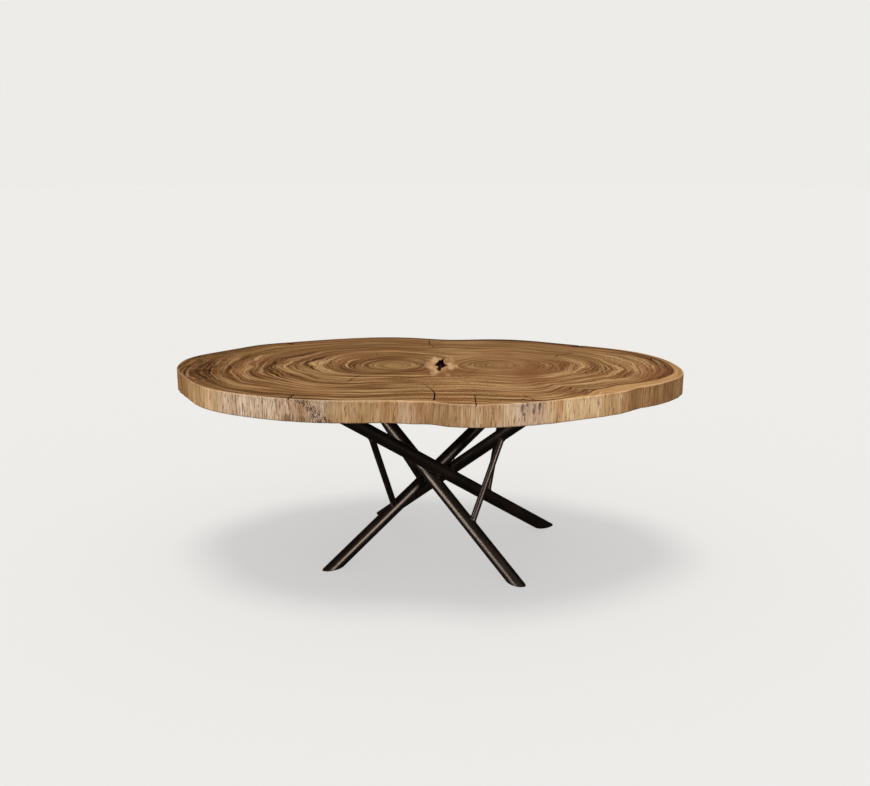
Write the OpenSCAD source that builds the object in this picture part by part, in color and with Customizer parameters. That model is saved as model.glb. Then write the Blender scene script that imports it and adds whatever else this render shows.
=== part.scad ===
// Oval dining table: a slab cut across a forked trunk on four crossed steel tubes.
// Millimetres, Z up. The floor is z = 0 and the slab is centred over the origin.
// The base turns onto itself in half a turn: each pair of legs is one leg made twice.

/* [Slab] */
// Length of the slab, along X
slab_length = 1975; // [1700:5:2300]
// Width of the slab, along Y
slab_width = 1250; // [1100:5:1500]
// Thickness of the slab
slab_thickness = 82; // [60:1:110]
// Height of the slab's upper face above the floor
table_height = 762; // [720:1:800]
// Wood left under the hollow between the two stems
hollow_floor = 20; // [12:1:30]
// Depth of the drying checks in the upper face
check_depth = 10; // [4:1:20]
// Width of a drying check where it is widest
check_width = 5; // [3:0.5:8]

/* [Legs] */
// Outer diameter of a leg tube
leg_diameter = 50.8; // [45:0.1:58]
// Wall of a leg tube
leg_wall = 3; // [2:0.5:5]
// Lean from the vertical of the long legs, whose feet are rear right and front left
long_leg_lean = 57; // [54:0.1:59]
// Direction in plan of a long leg, from its top to its foot
long_leg_heading = 35; // [31:0.1:39]
// Lean from the vertical of the short legs, whose feet are front right and rear left
short_leg_lean = 52.9; // [50:0.1:56]
// Direction in plan of a short leg, from its top to its foot
short_leg_heading = -41.8; // [-45:0.1:-38]
// Height at which a long leg crosses the short leg beside it
crossing_height = 336; // [310:1:360]
// How far that crossing lies in front of the middle of the base
crossing_front = 88; // [80:1:100]
// How far that crossing lies to the left of the middle of the base
crossing_left = 27; // [15:1:40]
// Weld root between two legs where they cross
weld_root = 0.5; // [0.3:0.1:0.9]
// Middle of the base to the right of the slab's middle
base_right = 69; // [40:1:100]
// Middle of the base behind the slab's middle
base_back = 3; // [-20:1:20]

/* [Braces] */
// Outer diameter of a brace tube
brace_diameter = 25.4; // [19:0.1:30]
// Wall of a brace tube
brace_wall = 2; // [1.5:0.5:3]
// Gap between a brace's coped end and its leg, filled by the weld
cope_gap = 0.2; // [0.1:0.1:0.5]
// Upper seat of the front right brace, on the leg above
front_right_top = 505; // [480:5:560]
// Lower seat of the front right brace
front_right_low = 171; // [150:1:200]
// Upper seat of the rear left brace
rear_left_top = 600; // [540:5:610]
// Lower seat of the rear left brace
rear_left_low = 191; // [160:1:210]
// Upper seat of the rear right brace
rear_right_top = 550; // [520:5:590]
// Lower seat of the rear right brace
rear_right_low = 208; // [180:1:230]
// Upper seat of the front left brace
front_left_top = 570; // [530:5:590]
// Lower seat of the front left brace
front_left_low = 189; // [170:1:220]

/* [Top plates] */
// Length of a top plate, along its leg
plate_length = 150; // [140:1:180]
// Width of a top plate
plate_width = 100; // [96:1:130]
// Thickness of a top plate
plate_thickness = 6; // [4:0.5:10]
// Radius of a top plate's corners
plate_corner = 8; // [3:1:12]
// Middle of a bolt to the plate's edge
bolt_edge = 14; // [12:0.5:18]

/* [Fixings] */
// Diameter of a bolt's shank
bolt_diameter = 8; // [6:1:8]
// Length of a bolt under its head
bolt_length = 25; // [20:1:30]
// Diameter of a bolt's head
head_diameter = 14; // [12:0.5:15]
// Height of a bolt's head
head_height = 4.4; // [3.5:0.1:6]
// Hexagon socket in the head, across flats
socket_flats = 5; // [4:0.5:6]
// Depth of that socket
socket_depth = 2.6; // [1.5:0.1:3]
// Outer diameter of a washer
washer_diameter = 16; // [15:0.5:20]
// Thickness of a washer
washer_thickness = 1.6; // [1:0.1:2]
// Extra width of the holes in plates and washers
hole_clearance = 0.8; // [0.4:0.1:1]
// Gap round a shank in its insert, and round an insert in the wood
thread_gap = 0.1; // [0.05:0.05:0.2]
// Outer diameter of a threaded insert
insert_diameter = 12; // [11:0.5:14]
// Length of a threaded insert
insert_length = 20; // [15:1:25]
// Room above the insert in its hole
insert_room = 5; // [4:1:8]

/* [Feet] */
// Thickness of the steel disc that closes a foot
foot_cap_thickness = 3; // [2:0.5:6]
// Thickness of the pad under a foot
foot_pad_thickness = 3; // [2:0.5:5]
// How far a pad stays inside the edge of its foot
pad_inset = 1.5; // [0.5:0.5:4]

/* [Hidden] */

$fn = 64;
// How far a cutting shape runs past the solid it cuts
past = 1;

// Bark line of the slab: a plain oval with swells and hollows round it.
// Each row is a direction in degrees from +X, half the angle it spreads over,
// and its height over the oval in thousandths of the radius.
bark_swells = [
    [-144, 21, 20],   // full front left shoulder
    [-95, 13, -105],  // hollow in the front edge, left of the long front lobe
    [-89, 2.5, -25],  // nick at the left end of that lobe
    [-84, 15, 60],    // front lobe
    [-66, 7, 9],      // its full right end
    [-38, 5, -20],    // notch between the front lobe and the right end
    [-15, 11, 20],    // corner at the right end
    [49, 15, -45],    // flat of the rear right side
    [84, 11, -105],   // hollow in the rear edge, where the two stems meet
    [103, 21, 30],    // rear left lobe
    [136, 8, 25],     // shoulder of the rear left side
    [166, 11, 20],    // left end
    [-158, 14, -32]   // flat of the front left side
];
outline_points = 180;

// Hollow between the two stems, seen from above, round its own middle.
hollow_right = 52;
hollow_back = 10;
hollow_edge = [
    [10, 125], [13, 100], [13, 42], [20, 20], [30, 0], [23, -22], [14, -37], [3, -64], [2, -98],
    [-1, -127], [-13, -93], [-16, -75], [-11, -48], [-12, -19], [-27, 0], [-16, 33], [-14, 57], [-6, 90]
];

// Drying checks: direction from the slab's middle, then inner and outer end as shares of the radius.
drying_checks = [
    [-88.5, 0.52, 1], [-80.5, 0.76, 1], [-118.5, 0.92, 1], [45, 0.95, 1], [128, 0.95, 1], [19.5, 0.95, 1]
];

slab_bottom = table_height - slab_thickness;
plate_bottom = slab_bottom - plate_thickness;
cap_bottom = foot_pad_thickness;
cap_top = cap_bottom + foot_cap_thickness;
leg_radius = leg_diameter / 2;
brace_radius = brace_diameter / 2;

function wrapped(angle) = angle - 360 * floor((angle + 180) / 360);
function bark_radius(angle) = 1 + sum([
    for (row = bark_swells) row[2] / 1000 * exp(-pow(wrapped(angle - row[0]) / row[1], 2))
]);
function sum(values, i = 0) = i < len(values) ? values[i] + sum(values, i + 1) : 0;
raw_outline = [
    for (i = [0 : outline_points - 1])
        let (angle = 360 * i / outline_points)
        bark_radius(angle) * [cos(angle), sin(angle)]
];
raw_low = [min([for (p = raw_outline) p[0]]), min([for (p = raw_outline) p[1]])];
raw_high = [max([for (p = raw_outline) p[0]]), max([for (p = raw_outline) p[1]])];
raw_middle = (raw_low + raw_high) / 2;
raw_size = raw_high - raw_low;
function on_slab(p) = [
    slab_length * (p[0] - raw_middle[0]) / raw_size[0],
    slab_width * (p[1] - raw_middle[1]) / raw_size[1]
];
slab_outline = [for (p = raw_outline) on_slab(p)];

// A leg's axis is a point and a unit direction that runs down to its foot.
function down(lean, heading) = [sin(lean) * cos(heading), sin(lean) * sin(heading), -cos(lean)];
function at_height(axis, z) = axis[0] + axis[1] * (z - axis[0][2]) / axis[1][2];
function half_turned(p) = [-p[0], -p[1], p[2]];
function unit(v) = v / norm(v);

// Where two legs cross, their axes stand one tube and the weld apart, the long one in front.
long_down = down(long_leg_lean, long_leg_heading);
short_down = down(short_leg_lean, short_leg_heading);
across = unit(cross(long_down, short_down));
towards_front = across[1] < 0 ? across : -across;
crossing = [-crossing_left, -crossing_front, crossing_height];
half_apart = (leg_diameter + weld_root) / 2;
long_axis = [crossing + towards_front * half_apart, long_down];
short_axis = [crossing - towards_front * half_apart, short_down];

bolt_reach = bolt_length - plate_thickness - washer_thickness;
insert_hole_depth = max(insert_length, bolt_reach) + insert_room;
bolt_places = [
    for (x = [-1, 1], y = [-1, 1])
        [x * (plate_length / 2 - bolt_edge), y * (plate_width / 2 - bolt_edge)]
];

steel = "#2b2420";
wood = "#a87b4d";

// The middle of the base stands to one side of the slab's middle.
module base_frame() {
    translate([base_right, base_back, 0]) children();
}

module half_turn() {
    rotate([0, 0, 180]) children();
}

// A round bar along an axis, longer than any leg. A quarter turn about its own
// axis keeps its seam off the long tips of the ovals where it is cut level.
module bar(axis, radius) {
    reach = 1.5 * table_height / cos(max(long_leg_lean, short_leg_lean));
    lean = acos(-axis[1][2]);
    heading = atan2(axis[1][1], axis[1][0]);
    translate(at_height(axis, table_height / 2))
        rotate([0, lean, heading + 180])
            translate([0, 0, -reach / 2])
                rotate([0, 0, 90])
                    cylinder(r = radius, h = reach);
}

// The part of its children between two levels.
module between(low, high) {
    side = 4 * table_height;
    intersection() {
        children();
        translate([-side / 2, -side / 2, low]) cube([side, side, high - low]);
    }
}

// A leg tube, cut level under its top plate and on its foot cap.
module leg(axis) {
    between(cap_top, plate_bottom)
        difference() {
            bar(axis, leg_radius);
            bar(axis, leg_radius - leg_wall);
        }
}

module foot_cap(axis) {
    between(cap_bottom, cap_top) bar(axis, leg_radius);
}

module foot_pad(axis) {
    between(0, cap_bottom) bar(axis, leg_radius - pad_inset);
}

// A brace tube from one leg's axis to another's, coped to both.
module brace(upper, lower, upper_leg, lower_leg) {
    run = lower - upper;
    difference() {
        translate(upper)
            rotate([0, acos(run[2] / norm(run)), atan2(run[1], run[0])])
                difference() {
                    cylinder(r = brace_radius, h = norm(run));
                    translate([0, 0, -past])
                        cylinder(r = brace_radius - brace_wall, h = norm(run) + 2 * past);
                }
        bar(upper_leg, leg_radius + cope_gap);
        bar(lower_leg, leg_radius + cope_gap);
    }
}

function turned_axis(axis) = [half_turned(axis[0]), half_turned(axis[1])];

// From the long leg above to the foot of the long leg that crosses below.
module long_brace(top_z, low_z) {
    other = turned_axis(long_axis);
    brace(at_height(long_axis, top_z), at_height(other, low_z), long_axis, other);
}

// From the short leg above to the foot of the short leg that crosses below.
module short_brace(top_z, low_z) {
    other = turned_axis(short_axis);
    brace(at_height(other, top_z), at_height(short_axis, low_z), other, short_axis);
}

// Puts its children at the top of a leg, with X along the leg's heading.
module at_leg_top(axis, z) {
    top = at_height(axis, plate_bottom);
    translate([top[0], top[1], z])
        rotate([0, 0, atan2(axis[1][1], axis[1][0])])
            children();
}

module at_bolts(axis, z) {
    at_leg_top(axis, z)
        for (place = bolt_places)
            translate([place[0], place[1], 0]) children();
}

// All sixteen bolt places, at a level.
module at_all_bolts(z) {
    base_frame()
        for (axis = [long_axis, turned_axis(long_axis), short_axis, turned_axis(short_axis)])
            at_bolts(axis, z) children();
}

module top_plate(axis) {
    hole = bolt_diameter + hole_clearance;
    difference() {
        at_leg_top(axis, plate_bottom)
            union() {
                translate([-plate_length / 2, plate_corner - plate_width / 2, 0])
                    cube([plate_length, plate_width - 2 * plate_corner, plate_thickness]);
                translate([plate_corner - plate_length / 2, -plate_width / 2, 0])
                    cube([plate_length - 2 * plate_corner, plate_width, plate_thickness]);
                for (x = [-1, 1], y = [-1, 1])
                    translate([
                        x * (plate_length / 2 - plate_corner),
                        y * (plate_width / 2 - plate_corner),
                        0
                    ])
                        cylinder(r = plate_corner, h = plate_thickness);
            }
        at_bolts(axis, plate_bottom - past)
            cylinder(d = hole, h = plate_thickness + 2 * past);
    }
}

// A thin wedge that opens towards the bark line, cut into the upper face.
module drying_check(row) {
    direction = [cos(row[0]), sin(row[0])];
    inner = on_slab(bark_radius(row[0]) * row[1] * direction);
    outer = on_slab(bark_radius(row[0]) * (row[2] + 0.01) * direction);
    sideways = unit([inner[1] - outer[1], outer[0] - inner[0]]) * check_width / 2;
    translate([0, 0, table_height - check_depth])
        linear_extrude(check_depth + past)
            polygon([inner, outer + sideways, outer - sideways]);
}

module slab_top() color(wood)
    difference() {
        translate([0, 0, slab_bottom])
            linear_extrude(slab_thickness)
                polygon(slab_outline);
        translate([hollow_right, hollow_back, slab_bottom + hollow_floor])
            linear_extrude(slab_thickness)
                polygon(hollow_edge);
        for (row = drying_checks) drying_check(row);
        at_all_bolts(slab_bottom - past)
            cylinder(d = insert_diameter + 2 * thread_gap, h = insert_hole_depth + past);
    }

module leg_front_right() color(steel) base_frame() leg(short_axis);
module leg_rear_left() color(steel) base_frame() half_turn() leg(short_axis);
module leg_rear_right() color(steel) base_frame() leg(long_axis);
module leg_front_left() color(steel) base_frame() half_turn() leg(long_axis);

module brace_front_right() color(steel)
    base_frame() short_brace(front_right_top, front_right_low);
module brace_rear_left() color(steel)
    base_frame() half_turn() short_brace(rear_left_top, rear_left_low);
module brace_front_left() color(steel)
    base_frame() long_brace(front_left_top, front_left_low);
module brace_rear_right() color(steel)
    base_frame() half_turn() long_brace(rear_right_top, rear_right_low);

// A top plate is named for the corner that it stands in, not for its leg's foot.
module top_plate_front_left() color(steel) base_frame() top_plate(long_axis);
module top_plate_rear_right() color(steel) base_frame() half_turn() top_plate(long_axis);
module top_plate_rear_left() color(steel) base_frame() top_plate(short_axis);
module top_plate_front_right() color(steel) base_frame() half_turn() top_plate(short_axis);

module foot_cap_front_right() color(steel) base_frame() foot_cap(short_axis);
module foot_cap_rear_left() color(steel) base_frame() half_turn() foot_cap(short_axis);
module foot_cap_rear_right() color(steel) base_frame() foot_cap(long_axis);
module foot_cap_front_left() color(steel) base_frame() half_turn() foot_cap(long_axis);

module foot_pad_front_right() color("#1b1a19") base_frame() foot_pad(short_axis);
module foot_pad_rear_left() color("#1b1a19") base_frame() half_turn() foot_pad(short_axis);
module foot_pad_rear_right() color("#1b1a19") base_frame() foot_pad(long_axis);
module foot_pad_front_left() color("#1b1a19") base_frame() half_turn() foot_pad(long_axis);

module threaded_inserts() color("#b59a5a")
    at_all_bolts(slab_bottom)
        difference() {
            cylinder(d = insert_diameter, h = insert_length);
            translate([0, 0, -past])
                cylinder(d = bolt_diameter + 2 * thread_gap, h = insert_length + 2 * past);
        }

// Button head with a hexagon socket, and a plain shank.
module plate_bolts() color("#5c5854")
    at_all_bolts(plate_bottom - washer_thickness)
        difference() {
            union() {
                cylinder(d = bolt_diameter, h = bolt_length);
                translate([0, 0, -head_height])
                    cylinder(d1 = head_diameter * 0.6, d2 = head_diameter, h = head_height);
            }
            translate([0, 0, -head_height - past])
                cylinder(d = socket_flats / cos(30), h = socket_depth + past, $fn = 6);
        }

module plate_washers() color("#8d8a85")
    at_all_bolts(plate_bottom - washer_thickness)
        difference() {
            cylinder(d = washer_diameter, h = washer_thickness);
            translate([0, 0, -past])
                cylinder(d = bolt_diameter + hole_clearance, h = washer_thickness + 2 * past);
        }

slab_top();
leg_front_right();
leg_front_left();
leg_rear_right();
leg_rear_left();
brace_front_right();
brace_front_left();
brace_rear_right();
brace_rear_left();
top_plate_front_right();
top_plate_front_left();
top_plate_rear_right();
top_plate_rear_left();
foot_cap_front_right();
foot_cap_front_left();
foot_cap_rear_right();
foot_cap_rear_left();
foot_pad_front_right();
foot_pad_front_left();
foot_pad_rear_right();
foot_pad_rear_left();
threaded_inserts();
plate_bolts();
plate_washers();
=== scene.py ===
# Oval dining table: a slab cut across a forked trunk, on four crossed steel tubes.
# Everything is in metres in the CAD frame: +X to the right, +Y away from the viewer, +Z up.
import math

import bpy
import numpy as np
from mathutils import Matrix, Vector


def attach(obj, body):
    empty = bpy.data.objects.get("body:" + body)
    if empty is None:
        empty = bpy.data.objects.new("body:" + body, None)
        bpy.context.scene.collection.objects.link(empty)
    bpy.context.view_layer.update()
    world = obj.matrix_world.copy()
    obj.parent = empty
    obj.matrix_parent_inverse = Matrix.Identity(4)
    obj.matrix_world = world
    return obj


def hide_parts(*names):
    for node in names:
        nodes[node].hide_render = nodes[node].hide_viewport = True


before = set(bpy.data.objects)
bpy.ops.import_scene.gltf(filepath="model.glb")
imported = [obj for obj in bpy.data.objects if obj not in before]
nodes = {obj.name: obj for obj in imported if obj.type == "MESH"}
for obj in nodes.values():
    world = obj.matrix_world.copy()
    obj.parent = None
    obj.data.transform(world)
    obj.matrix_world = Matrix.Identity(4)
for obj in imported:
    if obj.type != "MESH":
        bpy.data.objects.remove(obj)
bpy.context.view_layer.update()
print("frame loaded:", len(nodes), "nodes")


# shader helpers
class Wire:
    # a shader socket that can be summed: every operator adds one Math node

    def __init__(self, paint, socket):
        self.paint = paint
        self.socket = socket

    def __add__(self, other):
        return self.paint.number("ADD", self, other)

    __radd__ = __add__

    def __sub__(self, other):
        return self.paint.number("SUBTRACT", self, other)

    def __rsub__(self, other):
        return self.paint.number("SUBTRACT", other, self)

    def __mul__(self, other):
        return self.paint.number("MULTIPLY", self, other)

    __rmul__ = __mul__

    def __truediv__(self, other):
        return self.paint.number("DIVIDE", self, other)

    def __rtruediv__(self, other):
        return self.paint.number("DIVIDE", other, self)

    def __pow__(self, other):
        return self.paint.number("POWER", self, other)

    def __rpow__(self, other):
        return self.paint.number("POWER", other, self)

    def __neg__(self):
        return self.paint.number("MULTIPLY", self, -1.0)

    def __abs__(self):
        return self.paint.number("ABSOLUTE", self)


class Paint:
    # the nodes of one material, or of the world

    def __init__(self, name, group=None):
        self.material = (bpy.data.materials if group is None else group).new(name)
        self.material.use_nodes = True
        self.tree = self.material.node_tree
        self.tree.nodes.clear()

    def add(self, kind, settings=None, inputs=None, output=0):
        # a node of this kind: its settings first, then its sockets; gives one of its outputs
        node = self.tree.nodes.new(kind)
        for key, value in (settings or {}).items():
            if key == "stops":
                ramp = node.color_ramp.elements
                while len(ramp) < len(value):
                    ramp.new(0.5)
                for element, (place, colour) in zip(ramp, value):
                    element.position = place
                    element.color = colour
            else:
                setattr(node, key, value)
        for key, value in (inputs or {}).items():
            if isinstance(value, Wire):
                self.tree.links.new(value.socket, node.inputs[key])
            else:
                node.inputs[key].default_value = value
        return Wire(self, node.outputs[output])

    def number(self, operation, *numbers):
        return self.add("ShaderNodeMath", {"operation": operation}, dict(enumerate(numbers)))

    def clamp(self, value):
        return self.add("ShaderNodeClamp", None, {"Value": value})

    def step(self, value, none, full):
        # 0 at one place and 1 at the other, whichever is higher, eased between
        inputs = {"Value": value, "From Min": none, "From Max": full}
        return self.add("ShaderNodeMapRange", {"interpolation_type": "SMOOTHSTEP"}, inputs)

    def window(self, value, start, full, fading, end):
        # 0 outside start and end, 1 between full and fading
        return self.step(value, start, full) * self.step(value, end, fading)

    def blend(self, share, first, second, mode="MIX"):
        # 6, 7 and 2 are the colour sockets of this node
        settings = {"data_type": "RGBA", "blend_type": mode}
        return self.add("ShaderNodeMix", settings, {0: share, 6: first, 7: second}, 2)

    def vector(self, operation, first, second=None, output="Vector"):
        inputs = {0: first} if second is None else {0: first, 1: second}
        return self.add("ShaderNodeVectorMath", {"operation": operation}, inputs, output)

    def away(self, first, second=(0.0, 0.0, 0.0)):
        # distance between two points
        return self.vector("DISTANCE", first, second, "Value")

    def join(self, x, y, z):
        return self.add("ShaderNodeCombineXYZ", None, {0: x, 1: y, 2: z})

    def parts(self, vector):
        return [self.add("ShaderNodeSeparateXYZ", None, {0: vector}, i) for i in range(3)]

    def noise(self, vector, scale, detail=2.0, roughness=0.5):
        inputs = {"Vector": vector, "Scale": scale, "Detail": detail, "Roughness": roughness}
        return self.add("ShaderNodeTexNoise", None, inputs)

    def ramp(self, value, stops):
        return self.add("ShaderNodeValToRGB", {"stops": stops}, {"Fac": value})

    def greys(self, value, stops):
        # a number read off a list of places and levels
        return self.ramp(value, [(place, (level, level, level, 1.0)) for place, level in stops])

    def field(self, name):
        # the three numbers that store() keeps at each point
        return self.parts(self.add("ShaderNodeAttribute", {"attribute_name": name}, None, "Vector"))

    def place(self):
        return self.add("ShaderNodeTexCoord", None, None, "Object")

    def finish(self, colour, roughness, relief, strength, reach, **fixed):
        # the surface: what varies comes in as wires, what doesn't is set on the shader
        bump = {"Height": relief, "Strength": strength, "Distance": reach}
        normal = self.add("ShaderNodeBump", None, bump)
        inputs = {"Base Color": colour, "Roughness": roughness, "Normal": normal}
        inputs.update({key.replace("_", " "): value for key, value in fixed.items()})
        return self.end(self.add("ShaderNodeBsdfPrincipled", None, inputs))

    def end(self, shader, kind="ShaderNodeOutputMaterial"):
        output = self.tree.nodes.new(kind)
        self.tree.links.new(shader.socket, output.inputs["Surface"])
        return self.material


def tone(red, green, blue):
    # a colour as it looks on a screen, 0 to 255, turned into the numbers a shader takes
    screen = np.array([red, green, blue]) / 255
    linear = np.where(screen <= 0.04045, screen / 12.92, ((screen + 0.055) / 1.055) ** 2.4)  # sRGB curve
    return (*linear.tolist(), 1.0)


# mesh helpers
def wrapped(angle):
    # the same direction between -180 and 180
    return (angle + 180) % 360 - 180


def bumps(angle, rows):
    # sum of bell curves round a circle; a row is direction, half angle, height
    bells = [height * np.exp(-((wrapped(angle - middle) / spread) ** 2)) for middle, spread, height in rows]
    return sum(bells)


def waves(x, y, length, seed, count=9):
    # smooth irregular field: cosines of about one wavelength in turned directions, summed
    rng = np.random.default_rng(seed)
    turn = rng.uniform(0, 2 * np.pi, count)
    pitch = 2 * np.pi / (length * rng.uniform(0.7, 1.5, count))
    start = rng.uniform(0, 2 * np.pi, count)
    total = 0
    for way, rate, shift in zip(turn, pitch, start):
        total = total + np.cos(rate * (x * np.cos(way) + y * np.sin(way)) + shift)
    return total / math.sqrt(count / 2)


def ease(value, low, high):
    # 0 below low, 1 above high, and between them a curve that starts and ends level
    share = np.clip((value - low) / (high - low), 0, 1)
    return share * share * (3 - 2 * share)


def smoothed(values, width):
    # a list that closes on itself, rounded off by a bell of this width
    kernel = np.hanning(width) / np.hanning(width).sum()
    return np.convolve(np.concatenate([values[-20:], values, values[:20]]), kernel, "same")[20:-20]


def surface(name, grid, poles=(None, None), closedRows=False, sharp=35):
    # mesh from a grid of points, rows x columns, whose columns close on themselves;
    # a pole closes the first or last row with one point, closedRows joins last to first
    rows, columns, _ = grid.shape
    points = [grid.reshape(-1, 3)]
    index = np.arange(rows * columns).reshape(rows, columns)
    lower = index if closedRows else index[:-1]
    upper = np.roll(index, -1, axis=0) if closedRows else index[1:]
    quads = np.stack([lower, np.roll(lower, -1, 1), np.roll(upper, -1, 1), upper], -1).reshape(-1, 4)
    triangles = []
    for end, pole in enumerate(poles):
        if pole is None:
            continue
        ring = index[0] if end == 0 else index[-1]
        tip = np.full(columns, sum(len(p) for p in points))
        points.append(np.array(pole, float).reshape(1, 3))
        following = np.roll(ring, -1)
        triangles.append(np.stack([tip, following, ring] if end == 0 else [tip, ring, following], -1))
    points = np.concatenate(points)
    triangles = np.concatenate(triangles) if triangles else np.zeros((0, 3), int)
    fans = np.concatenate([quads[:, [0, 1, 2]], quads[:, [0, 2, 3]], triangles])
    a, b, c = (points[fans[:, i]] for i in range(3))
    if np.einsum("ij,ij->i", a, np.cross(b, c)).sum() < 0:  # inside out
        quads = quads[:, ::-1]
        triangles = triangles[:, ::-1]
    mesh = bpy.data.meshes.new(name)
    corners = np.concatenate([quads.ravel(), triangles.ravel()])
    starts = np.concatenate([np.arange(len(quads)) * 4, len(quads) * 4 + np.arange(len(triangles)) * 3])
    mesh.vertices.add(len(points))
    mesh.vertices.foreach_set("co", points.astype(np.float32).ravel())
    mesh.loops.add(len(corners))
    mesh.loops.foreach_set("vertex_index", corners.astype(np.int32))
    mesh.polygons.add(len(starts))
    mesh.polygons.foreach_set("loop_start", starts.astype(np.int32))
    mesh.update(calc_edges=True)
    mesh.validate()
    mesh.shade_smooth()
    mesh.set_sharp_from_angle(angle=math.radians(sharp))
    piece = bpy.data.objects.new(name, mesh)
    bpy.context.scene.collection.objects.link(piece)
    return piece


def store(piece, name, grids, poleValues=((0, 0, 0), (0, 0, 0))):
    # a vector for each point of the mesh, from three grids and the values at the poles
    values = np.stack([np.asarray(g, float).ravel() for g in grids], -1)
    extra = np.array(poleValues, float)[: len(piece.data.vertices) - len(values)]
    values = np.concatenate([values, extra]) if len(extra) else values
    piece.data.attributes.new(name, "FLOAT_VECTOR", "POINT").data.foreach_set(
        "vector", values.astype(np.float32).ravel()
    )


# slab
slab = {
    "length": 1.975,
    "width": 1.250,
    "top": 0.762,
    "bottom": 0.680,
    # bark line: direction, half angle, height over a plain oval
    "swells": [
        (-144, 21, 0.020), (-95, 13, -0.105), (-89, 2.5, -0.025), (-84, 15, 0.060), (-66, 7, 0.009),
        (-38, 5, -0.020), (-15, 11, 0.020), (49, 15, -0.045), (84, 11, -0.105), (103, 21, 0.030),
        (136, 8, 0.025), (166, 11, 0.020), (-158, 14, -0.032),
    ],
    "columns": 690,
    # columns at a check, in half angles, and how far they take the place of the even ones
    "packed": [-1.7, -1.15, -1, -0.65, -0.3, 0, 0.3, 0.65, 1, 1.15, 1.7],
    "cleared": 2.3,
    "topRows": 54,
    "sideRows": 15,
    "wallRows": 8,  # of the hollow
    "edge": 0.0035,  # eased upper edge
    "softEdge": [(-101, 10, 0.0055), (-30, 14, 0.002), (10, 20, 0.002)],  # and where it is rounder
    "lowerEdge": 0.003,
    "ripple": 0.0011,  # depth of the ripples in the side
    "rippleWaves": (1.2, 0.55),  # how much of it is even, and how much comes and goes
    "plainEnds": 0.02,  # length at both ends of the slab over which they fade
    # hollow between the stems, round its own middle
    "hollowMiddle": (0.052, 0.010),
    "hollowFloor": 0.700,
    "floorRise": 0.004,  # its wall starts this far above the floor
    "floorLumps": 0.003,
    "hollowFoot": 0.86,  # its size at the floor against its mouth
    "hollowLip": 0.0015,  # its wall ends this far below the top
    "brimDrop": 0.0007,  # and a row between them rounds the brim
    "wallScallop": 0.04,  # share by which the wall waves in and out
    "hollowStretch": (0.024, 0.150),  # about half its width and half its length
    "ragged": 0.05,  # share by which its outline waves in and out
    "hollowEdge": [
        (0.010, 0.125), (0.013, 0.100), (0.013, 0.042), (0.020, 0.020), (0.030, 0.0), (0.023, -0.022),
        (0.014, -0.037), (0.003, -0.064), (0.002, -0.098), (-0.001, -0.127), (-0.013, -0.093),
        (-0.016, -0.075), (-0.011, -0.048), (-0.012, -0.019), (-0.027, 0.0), (-0.016, 0.033),
        (-0.014, 0.057), (-0.006, 0.090),
    ],
    "hearts": [(-0.134, 0.006), (0.285, 0.002)],  # the two piths
    "checkPull": (0.34, 0.02),  # shares of the radius before a check where points begin to move to it
    "checkDeepens": 0.35,  # share of its way to the bark over which it deepens
    "checkEnds": 0.05,  # share of the radius over which it closes again
    # drying checks: direction, shares of the radius where each starts and ends, half angle, depth,
    # places sideways of its direction (share, metres), and how far the wood beside it follows
    "checks": [
        {
            "turn": -88.5, "inner": 0.48, "outer": 0.975, "half": 0.20, "depth": 0.009, "spread": 15,
            "bend": [(0.48, -0.040), (0.60, -0.018), (0.70, -0.002), (0.80, 0.008), (0.92, 0.004), (1, 0)],
        },
        {
            "turn": -80.5, "inner": 0.74, "outer": 2, "half": 0.12, "depth": 0.007, "spread": 5,
            "bend": [(0.74, 0.046), (1, 0)],
        },
        {
            "turn": -118.5, "inner": 0.92, "outer": 2, "half": 0.20, "depth": 0.008, "spread": 5,
            "bend": [(0.92, -0.028), (1, 0)],
        },
        {
            "turn": 45, "inner": 0.95, "outer": 2, "half": 0.45, "depth": 0.012, "spread": 4,
            "bend": [(0.95, 0.004), (1, 0)],
        },
        {
            "turn": 128, "inner": 0.95, "outer": 2, "half": 0.30, "depth": 0.009, "spread": 4,
            "bend": [(0.95, -0.004), (1, 0)],
        },
    ],
}


def oval(angle):
    # unit circle swelled by the bumps of the bark line
    radius = 1 + bumps(angle, slab["swells"])
    turn = np.radians(angle)
    return np.stack([radius * np.cos(turn), radius * np.sin(turn)], -1)


ovalPoints = oval(np.arange(0, 360, 0.1))
ovalLow = ovalPoints.min(0)
ovalHigh = ovalPoints.max(0)
slabSize = np.array([slab["length"], slab["width"]])


def barkLine(angle):
    # the oval stretched over the slab's box
    return slabSize * ((oval(angle) - (ovalLow + ovalHigh) / 2) / (ovalHigh - ovalLow))


def slabColumns():
    # directions round the slab: even, with a packed set across each drying check
    even = np.arange(slab["columns"]) * 360 / slab["columns"] - 180
    packed = []
    for check in slab["checks"]:
        near = np.abs(wrapped(even - check["turn"])) < check["half"] * slab["cleared"]
        even = even[~near]
        packed.append(check["turn"] + np.array(slab["packed"]) * check["half"])
    return np.sort(np.concatenate([even, *packed]))


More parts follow.
